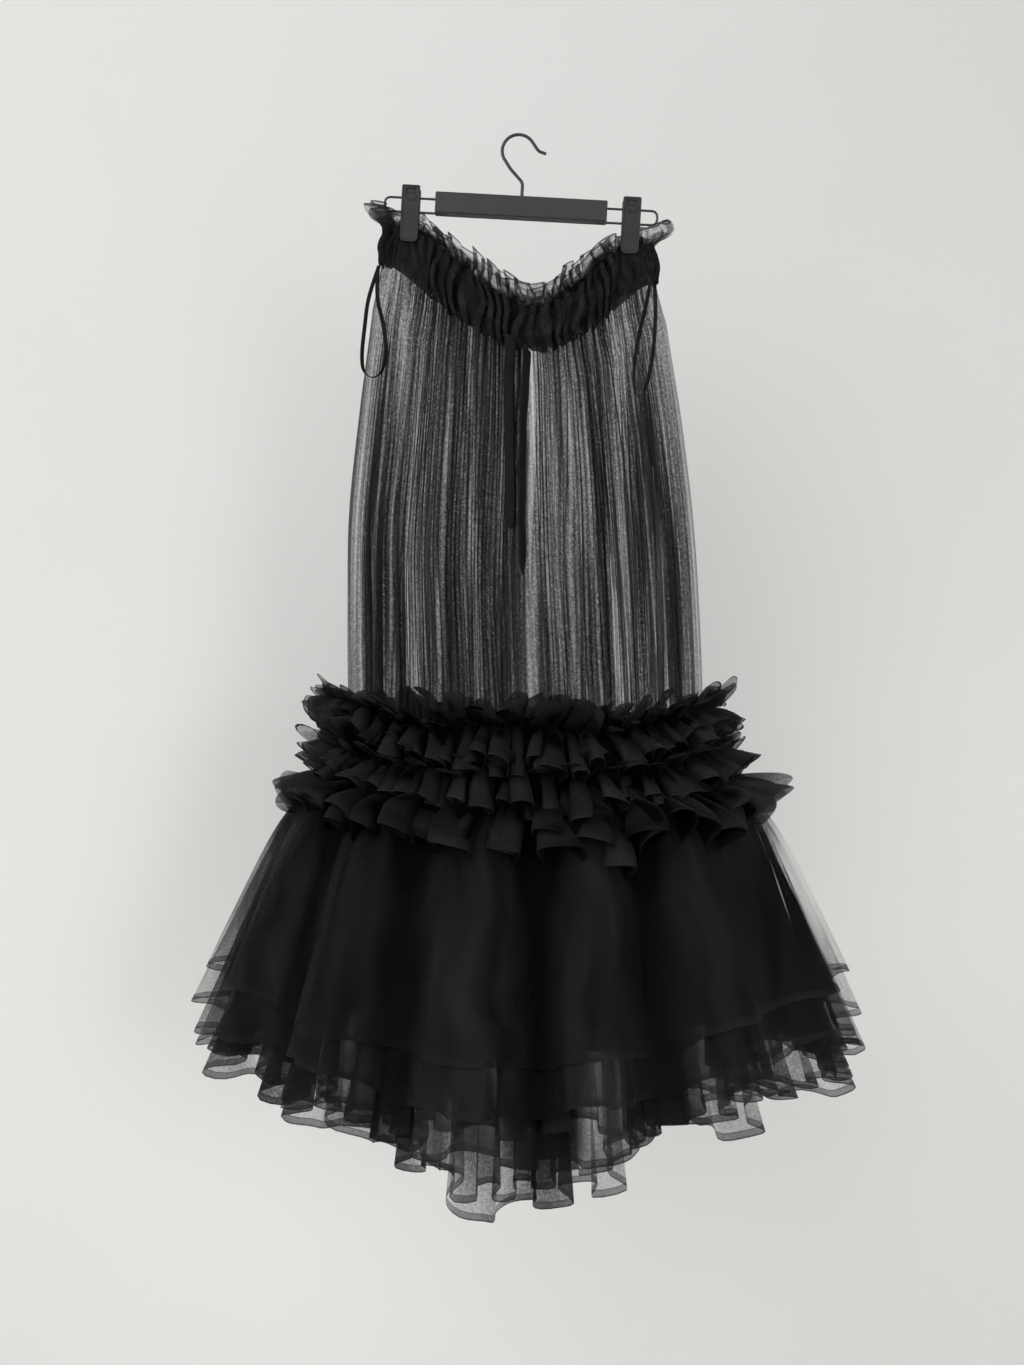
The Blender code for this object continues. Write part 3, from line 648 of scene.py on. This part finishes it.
def net_finish(name, open_share, streaks, grain_depth, hem_width, colours, **constants):
    """Net whose holes let light through: open_share is how much passes one layer, streaks is how
    many fine gathers come round the sheet, how often they break off and how strong they are. The
    hem, where there is one, is a stitched band. The base colour is darker where the cloth is full,
    painted shade in its folds and creases, and lighter along the fine gathers, partly the threads'
    own tone and partly a painted sheen."""
    across, along, depth = streaks
    material, wire, shader = new_finish(name, **constants)
    cloth = wire.node("ShaderNodeUVMap", {"uv_map": "cloth"})
    spot = wire.node("ShaderNodeTexCoord", None, None, 3)
    full = wire.node("ShaderNodeAttribute", {"attribute_name": "fullness"}, None, 2)
    bend = wire.node("ShaderNodeMapping", None, {"Vector": cloth, "Scale": (9.0, 3.0, 1.0)})
    bend = wire.node("ShaderNodeTexNoise", None, {"Vector": bend, "Scale": 1.0, "Detail": 1.0})
    shift = wire.node("ShaderNodeCombineXYZ", None, {"X": (bend - 0.5) * 0.03})
    cloth = wire.node("ShaderNodeVectorMath", {"operation": "ADD"}, {0: cloth, 1: shift})
    drawn = wire.node("ShaderNodeMapping", None, {"Vector": cloth, "Scale": (across, along, 1.0)})
    fine = wire.node("ShaderNodeTexNoise", None, {"Vector": drawn, "Scale": 1.0, "Detail": 1.5})
    wider = (across * 0.3, along * 0.8, 1.0)
    loose = wire.node("ShaderNodeMapping", None, {"Vector": cloth, "Scale": wider})
    bundles = wire.node("ShaderNodeTexNoise", None, {"Vector": loose, "Scale": 1.0, "Detail": 1.0})
    holes = wire.node(
        "ShaderNodeTexVoronoi",
        {"feature": "DISTANCE_TO_EDGE"},
        {"Vector": spot, "Scale": NET_HOLES},
    )
    flecks = wire.node(
        "ShaderNodeTexNoise", None, {"Vector": spot, "Scale": NET_FLECKS, "Detail": 2.0}
    )
    gathered = fine.between(0.34, 0.66) * (2 * depth) + (1 - depth)
    gathered = gathered * (bundles.between(0.32, 0.68) * depth + (1 - depth / 2))
    threads = 1 + grain_depth * (flecks.between(0.35, 0.65) - 0.5)
    threads = threads + grain_depth * 0.5 * (0.3 - holes)
    layers = full * gathered * threads
    if hem_width:
        hem = wire.node("ShaderNodeAttribute", {"attribute_name": "hem"}, None, 2)
        band = 1 - hem.between(hem_width * 0.92, hem_width)
        stitches = hem.between(hem_width * 0.84, hem_width * 0.90) * band
        edge = 1 - hem.between(0.0008, 0.0014)
        layers = layers + band * BAND_LAYERS + stitches * STITCH_LAYERS + edge * EDGE_LAYERS
    feed(shader, "Alpha", 1 - open_share**layers)
    # Painted shade: the base colour darkens where the cloth is full, in folds, valleys and creases.
    painted_light_share = 1 - full.between(1.5, 5.0)
    # The fine gathers lighten the colour, partly the threads' own tone and partly a painted sheen.
    feed(shader, "Base Color", tint(wire, painted_light_share * (0.3 + 0.9 * fine), *colours))
    feed(shader, "Roughness", 0.62 + 0.25 * flecks)
    feed(
        shader,
        "Normal",
        wire.node("ShaderNodeBump", None, {"Strength": 0.3, "Distance": 0.0006, "Height": fine}),
    )
    return material


CASING_FOLDS = 74
CASING_COLUMNS = 12
CASING_ROWS = 16
CASING_STAND = 0.0009
CASING_SWELL = 0.0058
CASING_LUMP = 0.0085
CASING_FOLD_DEPTH = 0.0040
CASING_RAGGED = 0.0016


def casing_surface(angle, share):
    """Tight gathers that swell between the strip's two seams and lie flat under the clips."""
    form = level_at(mix(CASING_FOOT, CASING_TOP, share))
    here = ring_point(form, angle)
    free = clear_of_clips(here.x)
    phase = CASING_FOLDS * angle + 7.0 * wobble(angle, 34, 3.1, share * 1.6) + 1.6 * share
    size = 0.9 + 1.6 * wobble(angle, 60, 7.7, share * 1.2)
    swell = CASING_SWELL * math.sin(math.pi * share) ** 0.6
    lump = CASING_LUMP * wobble(angle, 52, 12.5, share * 2.6) * math.sin(math.pi * share)
    fold = CASING_FOLD_DEPTH * size * math.cos(phase)
    turned = angle + free * 0.95 * math.sin(2 * phase) / CASING_FOLDS
    ends = abs(2 * share - 1) ** 6
    threads = math.cos(phase + 0.6) * size + 2.2 * wobble(angle, 130, 15.0, share)
    ragged = CASING_RAGGED * ends * threads
    if share < 0.5:
        ragged -= 0.0010 * ends
    seam = abs(math.cos(angle)) ** 8
    out = max(fold + swell + lump, -0.0004) * (1 - 0.5 * seam) * free + CASING_STAND
    # Gathers that stand proud are less full: thinner net and, through the colour, a painted
    # highlight on their crests, with painted shade in the hollows between.
    crest_thinning_and_highlight = math.cos(phase) * size + 160 * lump
    return ring_point(form, turned, out, ragged * free), 3.7 - 0.5 * crest_thinning_and_highlight, 1.0


casing_net = net_finish(
    "casing_net",
    open_share=0.40,
    streaks=(330.0, 5.0, 0.35),
    grain_depth=0.5,
    hem_width=0,
    colours=((0.0004, 0.0004, 0.0006), (0.0360, 0.0360, 0.0410)),
    Sheen_Weight=0.02,
    Sheen_Roughness=0.4,
    Specular_IOR_Level=0.03,
)
casing = net_sheet("casing_gathers", CASING_FOLDS * CASING_COLUMNS, CASING_ROWS, casing_surface)
casing.data.materials.append(casing_net)
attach(casing, "root")
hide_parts("waist_casing")


# Waist frill
# The header of the same strip stands above the casing: one row of sheer net folded over at its top
# edge, which opens into loose puffs and dark creases, denser there and with painted shade.
FRILL_FOLDS = 40
FRILL_COLUMNS = 24
FRILL_ROWS = 12
FRILL_TUCK = 0.006
FRILL_REACH = 0.1443
FRILL_LOW = 0.0150
FRILL_HIGH = 0.022
FRILL_END_RISE = 0.008
FRILL_END_PUFF = 0.020
FRILL_FOLD_DEPTH = 0.0098
FRILL_CRUMPLE = 0.006


def frill_surface(angle, share):
    """One row of loose puffs over dark creases, tucked down behind the casing's top."""
    form = level_at(CASING_TOP)
    here = ring_point(form, angle)
    free = clear_of_clips(here.x)
    middle = 1 - (abs(here.x - HANGER_X) / FRILL_REACH) ** 2
    end = math.exp(-(((abs(math.cos(angle)) - 1.0) / 0.035) ** 2))
    end *= 1.0 if math.cos(angle) > 0 else 0.45
    tall = mix(FRILL_LOW, FRILL_HIGH, ease(2 * middle - 0.5)) * (1 + 0.5 * wobble(angle, 26, 1.3))
    tall += FRILL_END_RISE * end
    phase = FRILL_FOLDS * angle + 5.0 * wobble(angle, 22, 5.5, share * 0.5)
    size = min(0.9 + 1.7 * wobble(angle, 40, 9.1), 1.35)
    wide = mix(0.25, 1.0, math.sin(share * math.pi * 0.62))
    fold = FRILL_FOLD_DEPTH * size * wide * math.cos(phase)
    turned = angle + free * 1.25 * wide * math.sin(2 * phase) / FRILL_FOLDS
    crumple = FRILL_CRUMPLE * wobble(angle, 90, 2.2, share * 2.0) * share
    puff = end * math.sin(share * math.pi * 0.8) * FRILL_END_PUFF
    out = (fold + 0.003 * share**2 + crumple) * free + puff
    rise = tall * share + 0.0022 * share * math.cos(phase + 1.0) * size * free
    rise -= FRILL_TUCK * (1 - ease(share / 0.15))
    tucks = max(0.0, wobble(angle, 60, 18.3, share * 2.5)) * (1 - share)
    # Creases, tucks and the strip's foot are fuller: denser net and, through the colour, painted
    # shade.
    creases = 1 + 1.4 * abs(math.sin(phase)) ** 3 + 4.0 * (1 - ease(share / 0.6)) + 10.0 * tucks
    creases *= 1 - 0.55 * ease((abs(math.cos(angle)) - 0.9) / 0.1)
    return ring_point(form, turned, out, rise), creases * (1 - 0.25 * share), tall * (1 - share)


frill_net = net_finish(
    "frill_net",
    open_share=0.62,
    streaks=(90.0, 2.5, 0.6),
    grain_depth=0.6,
    hem_width=0.0018,
    colours=((0.0015, 0.0015, 0.002), (0.024, 0.024, 0.027)),
    Sheen_Weight=0.03,
    Sheen_Roughness=0.4,
    Specular_IOR_Level=0.06,
)
frill = net_sheet("frill_puffs", FRILL_FOLDS * FRILL_COLUMNS, FRILL_ROWS, frill_surface)
frill.data.materials.append(frill_net)
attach(frill, "root")
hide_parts("waist_frill")


# Body
# Two long panels of sheer net, front and back, gathered into the casing and falling straight to the
# ruffles in many fine uneven folds. The net is fullest in the middle and nearly plain at the seams.
PANEL_FOLDS = 56
PANEL_COLUMNS = 12
PANEL_ROWS = 40
PANEL_GAP = 0.0014
BODY_TUCK = 0.009
BODY_TOP = CASING_FOOT + BODY_TUCK
BODY_FOLD_TOP = 0.0024
BODY_FOLD_LOW = 0.0046
TUCK_DEPTH = 0.0012
TIE_SHADE = 0.014
# Where the folds open or close up: the middle, the width, and how much fullness it takes away.
LIGHT_GAPS = (
    (0.0130, 0.007, 0.80),
    (-0.048, 0.006, 0.30),
    (0.036, 0.012, -0.30),
    (0.062, 0.008, 0.20),
    (0.108, 0.012, 0.40),
    (-0.118, 0.014, 0.45),
    (-0.022, 0.009, -0.45),
    (0.085, 0.010, -0.40),
    (-0.078, 0.012, -0.30),
)


def body_surface(angle, share, away):
    """Fine hanging folds of one panel. away is 1 for the back and -1 for the front."""
    side_z = mix(BODY_FOOT, BODY_TOP, share)
    form = level_at(side_z)
    here = ring_point(form, angle)
    gripped = mix(1.0, clear_of_clips(here.x), form["pinch"])
    down = 1 - share
    drift = 9.0 * wobble(angle, 26, 4.0, down * 0.9) + 3.0 * wobble(angle, 70, 8.0, down * 2.4)
    phase = 2 * PANEL_FOLDS * angle + drift
    size = 0.75 + 1.2 * wobble(angle, 90, 12.0 + away, down * 1.6)
    depth = mix(BODY_FOLD_TOP, BODY_FOLD_LOW, ease(3 * down)) * (1 - 0.5 * ease(3 * down - 2))
    closeness = 0.65 + 1.0 * wobble(angle, 60, 17.0 + away, down * 1.2)
    seam = abs(math.cos(angle))
    calm = 1 - 0.97 * ease((seam - 0.80) / 0.17)
    under_tie = 1 - 0.75 * math.exp(-((here.x / TIE_SHADE) ** 4)) if away < 0 else 1.0
    turned = angle + gripped * calm * max(closeness, 0.1) * math.sin(2 * phase) / (2 * PANEL_FOLDS)
    edge = math.pi if away < 0 else 0
    turned = min(max(turned, edge), edge + math.pi)
    tucked = ease((BODY_TOP - side_z) / BODY_TUCK)
    out = depth * size * math.cos(phase) * gripped * calm * under_tie * tucked
    out -= TUCK_DEPTH * (1 - tucked) * gripped
    place = ring_point(form, turned, out) + Vector((0, away * PANEL_GAP / 2, 0))
    full = mix(3.9, 1.8, ease((seam - 0.50) / 0.48))
    full *= 1 + 1.0 * wobble(angle, 30, 21.0 + away, down * 0.5)
    full *= mix(1.0, 0.6 + 0.9 * abs(math.sin(phase)) ** 2, calm)
    full *= mix(0.85, 1.15, ease(down * 1.5))
    full *= 1 + 1.2 * math.exp(-down / 0.05) * abs(math.sin(phase)) * tucked
    full *= 1 - 0.40 * ease((here.x - 0.05) / 0.06) * down
    for middle, width, amount in LIGHT_GAPS:
        amount *= 1.0 if amount > 0 else 1 - 0.7 * down
        full *= 1 - amount * math.exp(-(((here.x - middle) / width) ** 2))
    return place, max(0.35, full), down * 0.55


body_net = net_finish(
    "body_net",
    open_share=0.62,
    streaks=(70.0, 1.3, 0.68),
    grain_depth=0.9,
    hem_width=0,
    colours=((0.002, 0.002, 0.003), (0.028, 0.028, 0.032)),
    Sheen_Weight=0.04,
    Sheen_Roughness=0.4,
    Specular_IOR_Level=0.06,
)
for side, away, angles in (("back", 1, (0, math.pi)), ("front", -1, (math.pi, math.tau))):
    panel = net_sheet(
        f"body_{side}_net",
        PANEL_FOLDS * PANEL_COLUMNS,
        PANEL_ROWS,
        lambda angle, share, away=away: body_surface(angle, share, away),
        angles,
    )
    panel.data.materials.append(body_net)
    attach(panel, "root")
    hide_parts(f"body_{side}")


# Hip ruffles
# Two strips of doubled net, each gathered along its middle and sewn round the hips, so that both
# edges stand out in crumpled loops, and a wider third strip sewn along its top edge below them.
RUFFLE_COLUMNS = 20
RUFFLE_MESH_ROWS = 16
RUFFLE_STAND = 0.0029
RUFFLE_FOLD_DEPTH = 0.0150
RUFFLE_CRUMPLE = 0.016
# The node, the seam's height, how far the upper edge stands out and up and the lower edge out and
# down, the folds round the hips, and the seed.
RUFFLE_ROWS = (
    ("ruffle_1", -0.591, 0.034, 0.019, 0.048, 0.021, 50, 31.0),
    ("ruffle_2", -0.636, 0.042, 0.009, 0.060, 0.023, 46, 41.0),
)
ruffle_net = net_finish(
    "ruffle_net",
    open_share=0.42,
    streaks=(50.0, 1.5, 0.25),
    grain_depth=0.4,
    hem_width=0.0012,
    colours=((0.0003, 0.0003, 0.0004), (0.0270, 0.0270, 0.0305)),
    Sheen_Weight=0.03,
    Sheen_Roughness=0.3,
    Specular_IOR_Level=0.03,
)


def ruffle_surface(angle, share, row, under):
    """Both edges of a row stand out from its seam in loops. under is 1 for its second layer."""
    _, side_z, upper_out, upper_rise, lower_out, lower_drop, folds, seed = row
    form = level_at(side_z)
    edge = 2 * share - 1
    away = abs(edge)
    reach = upper_out if edge > 0 else lower_out
    lift = upper_rise if edge > 0 else -lower_drop
    seed = seed + (3 if edge > 0 else 0) + 50 * under
    front = math.sin(angle) ** 2
    phase = folds * angle + 5.0 * wobble(angle, folds * 0.5, seed, away * 0.5)
    size = 0.9 + 1.2 * wobble(angle, folds * 0.7, seed + 5)
    wide = mix(0.12, 1.0, away**0.8)
    curl = 1.45 + 0.9 * wobble(angle, folds * 0.5, seed + 9)
    slant = 0.075 * wobble(angle, folds * 0.35, seed + 33) * away
    turned = angle + wide * curl * math.sin(2 * phase) / folds + slant
    fold = RUFFLE_FOLD_DEPTH * size * wide * math.cos(phase)
    crumple = RUFFLE_CRUMPLE * wobble(angle, folds * 1.9, seed + 13, away * 1.6) * away
    spread = reach * mix(0.60, 0.72 - 0.25 * under, front) * away**0.75
    out = RUFFLE_STAND + spread + fold * mix(0.75, 1, front) + crumple
    fall = lift * (mix(0.8, 2.1, front) if edge < 0 else mix(0.35, 0.55, front)) * away**1.1
    rise = fall + 0.009 * size * away * math.cos(phase + 0.25) + 0.012 * wobble(angle, 9, seed + 27)
    rise += 0.024 * wobble(angle, folds * 0.7, seed + 17) * away * mix(0.45, 1.0, front)
    rise += 0.009 * wobble(angle, folds * 2.6, seed + 21, away) * away
    # Fuller where the loop turns in towards its seam: denser net and, through the colour, painted
    # shade.
    fold_density_and_shade = 1 - away * (0.5 + 0.5 * math.cos(phase + 0.4))
    full = mix(0.7 + 1.2 * fold_density_and_shade, 1.7 + 3.2 * fold_density_and_shade, ease(2.2 * front))
    full *= 1 + 1.2 * max(0.0, wobble(angle, folds * 3, seed + 40, away * 2.5))
    return ring_point(form, turned, max(out, 0.002), rise), full, 0.03 * (1 - away)


for row in RUFFLE_ROWS:
    for under, layer in enumerate(("loops", "under")):
        strip = net_sheet(
            f"{row[0]}_{layer}",
            row[6] * RUFFLE_COLUMNS,
            RUFFLE_MESH_ROWS,
            lambda angle, share, row=row, under=under: ruffle_surface(angle, share, row, under),
        )
        strip.data.materials.append(ruffle_net)
        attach(strip, "root")
        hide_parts(row[0])

LOW_FOLDS = 34
LOW_COLUMNS = 26
LOW_ROWS = 20
LOW_SEAM = -0.669
LOW_REACH = 0.060
LOW_FOLD_DEPTH = 0.024
LOW_CRUMPLE = 0.020


def low_ruffle_surface(angle, share, under):
    """The third row arches out from its top seam and falls in larger loops."""
    form = level_at(LOW_SEAM)
    down = 1 - share
    front = math.sin(angle) ** 2
    drop = mix(0.026, 0.058 - 0.016 * under, front)
    seed = 51.0 + 60 * under
    phase = LOW_FOLDS * angle + 5.0 * wobble(angle, 18, seed, down * 0.6)
    size = 0.95 + 1.3 * wobble(angle, 26, seed + 4)
    wide = mix(0.10, 1.0, down**0.8)
    curl = 1.55 + 0.9 * wobble(angle, 20, seed + 8)
    slant = 0.12 * wobble(angle, 14, seed + 33) * down
    turned = angle + wide * curl * math.sin(2 * phase) / LOW_FOLDS + slant
    fold = LOW_FOLD_DEPTH * size * wide * math.cos(phase)
    crumple = LOW_CRUMPLE * wobble(angle, 74, seed + 12, down * 1.6) * down
    spread = LOW_REACH * math.sin(down * math.pi / 2)
    out = RUFFLE_STAND + spread + fold * mix(0.7, 1, front) + crumple
    fall = -drop * down**1.5 + 0.013 * size * down * math.cos(phase + 0.25)
    uneven = 0.030 * wobble(angle, 26, seed + 16) * down
    fall += uneven + 0.011 * wobble(angle, 96, seed + 20, down) * down
    # Fuller where the loop turns in towards its seam: denser net and, through the colour, painted
    # shade.
    fold_density_and_shade = 1 - down * (0.5 + 0.5 * math.cos(phase + 0.4))
    full = mix(0.7 + 1.2 * fold_density_and_shade, 2.6 + 3.0 * fold_density_and_shade, ease(2.2 * front))
    full *= 1 + 1.2 * max(0.0, wobble(angle, LOW_FOLDS * 3, seed + 40, down * 2.5))
    return ring_point(form, turned, max(out, 0.002), fall), full, 0.09 * share


for under, layer in enumerate(("loops", "under")):
    low_ruffle = net_sheet(
        f"ruffle_3_{layer}",
        LOW_FOLDS * LOW_COLUMNS,
        LOW_ROWS,
        lambda angle, share, under=under: low_ruffle_surface(angle, share, under),
    )
    low_ruffle.data.materials.append(ruffle_net)
    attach(low_ruffle, "root")
    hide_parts("ruffle_3")


# Flounce
# Four flared tiers of net, one inside the other and each longer than the one outside it, sewn on
# below the ruffles. Deep flutes open towards the hems, and each hem is turned up in a stitched
# band. The two longest tiers are double, with a slightly shorter lining of the same net.
FLUTES = 14
FLOUNCE_COLUMNS = 40
FLOUNCE_ROWS = 42
FLUTE_DEPTH = 0.046
SECOND_DEPTH = 0.0185
FINE_DEPTH = 0.0026
SETTLE_DROP = 0.022
# The node, how far it stands off its seam, how far that is sewn below the first, how far the cloth
# comes out at its shoulder and at its hem, its drop at the sides and the front, its fullness at the
# front and the sides, and how loose its hem is.
TIERS = (
    ("flounce_1", 0.0074, 0.000, 0.042, 0.128, 0.207, 0.238, 2.8, 0.55, 0.20),
    ("flounce_2", 0.0060, 0.001, 0.038, 0.139, 0.246, 0.272, 2.8, 0.60, 0.35),
    ("flounce_3", 0.0046, 0.002, 0.034, 0.130, 0.292, 0.312, 2.4, 1.20, 0.90),
    ("flounce_4", 0.0032, 0.003, 0.030, 0.092, 0.262, 0.372, 1.7, 1.80, 1.10),
)
flounce_net = net_finish(
    "flounce_net",
    open_share=0.55,
    streaks=(80.0, 1.8, 0.55),
    grain_depth=0.6,
    hem_width=0.0065,
    colours=((0.0003, 0.0003, 0.0006), (0.0180, 0.0180, 0.0210)),
    Sheen_Weight=0.03,
    Sheen_Roughness=0.35,
    Specular_IOR_Level=0.04,
)


def flute_wave(angle):
    """A flute's height, from -1 to 1, uneven round the ring and calmer at the side seams."""
    fade = 1 - 0.2 * (1 - math.sin(3 * angle + 1) * math.cos(5 * angle))
    shift = 0.5 * math.sin(2 * angle) + 0.3 * math.sin(5 * angle)
    calm = 1 - 0.5 * math.cos(angle) ** 6
    return calm * fade * math.cos(FLUTES * angle + shift), FLUTES * angle + shift


def tier_surface(angle, share_up, tier, seed, inner):
    """One tier: deep flutes that all tiers share, and smaller loops of its own at the hem. inner is
    1 for a lining."""
    _, stand, sewn_below, shoulder, reach, side_drop, front_drop, *fullness, loose = tier
    front_full, side_full = fullness
    form = level_at(BODY_FOOT + 0.004)
    share = 1 - share_up
    middle = math.sin(angle + math.radians(5)) ** 4 * mix(1.0, 0.7, (1 + math.sin(angle)) / 2)
    hang = mix(side_drop, front_drop, middle) * (1 - 0.055 * inner)
    stand -= 0.0012 * inner
    down = share * hang
    settle = 1 - math.exp(-down / SETTLE_DROP)
    out = shoulder * settle + (reach - shoulder) * share
    height, phase = flute_wave(angle)
    flute = FLUTE_DEPTH * (1 - math.exp(-down / 0.26)) * height
    waves = 2 + inner
    second = waves * phase + 3.4 * wobble(angle, 16, seed)
    open_out = share**1.6
    small = SECOND_DEPTH * loose * open_out * (1 + wobble(angle, 20, seed + 3)) * math.cos(second)
    fine_phase = 7 * phase + 4 * wobble(angle, 40, seed + 5, share)
    fine = FINE_DEPTH * loose * ease(3 * share) * math.cos(fine_phase)
    curl = loose * open_out * (0.95 + 0.7 * wobble(angle, 18, seed + 7))
    turned = angle + curl * math.sin(2 * second) / (waves * FLUTES)
    drop = down - 0.010 * settle - flute * 0.22 + small * 0.06
    drop += (0.006 + 0.022 * loose) * wobble(angle, 22, seed + 9) * share
    place = ring_point(form, turned, stand + out + flute + small + fine, -drop - sewn_below)
    side = ease((abs(math.cos(angle)) - 0.62 + 0.16 * math.cos(angle)) / 0.24)
    full = mix(front_full, side_full, side * ease(3 * share - 0.3))
    full *= mix(1.7, 1.0, ease(2.0 * share)) * (1 - 0.25 * loose * ease(3 * share - 2))
    # Fuller in the flutes' valleys: denser net and, through the colour, painted shade in the
    # valleys.
    full *= 0.60 + 1.5 * ((1 - height) / 2) ** 2
    full *= 1 - 0.80 * side * math.cos(angle) * (1 - 0.85 * ease(3 * share - 1.7))
    return place, full, hang * share_up


LAYERS = [(tier, 70.0 + 7 * number, 0, "net") for number, tier in enumerate(TIERS)]
LAYERS += [(tier, 110.0 + 7 * number, 1, "lining") for number, tier in enumerate(TIERS[2:])]
for tier, seed, inner, layer in LAYERS:
    sheet = net_sheet(
        f"{tier[0]}_{layer}",
        FLUTES * FLOUNCE_COLUMNS,
        FLOUNCE_ROWS,
        lambda angle, share, form=(tier, seed, inner): tier_surface(angle, share, *form),
    )
    sheet.data.materials.append(flounce_net)
    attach(sheet, "root")
    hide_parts(tier[0])
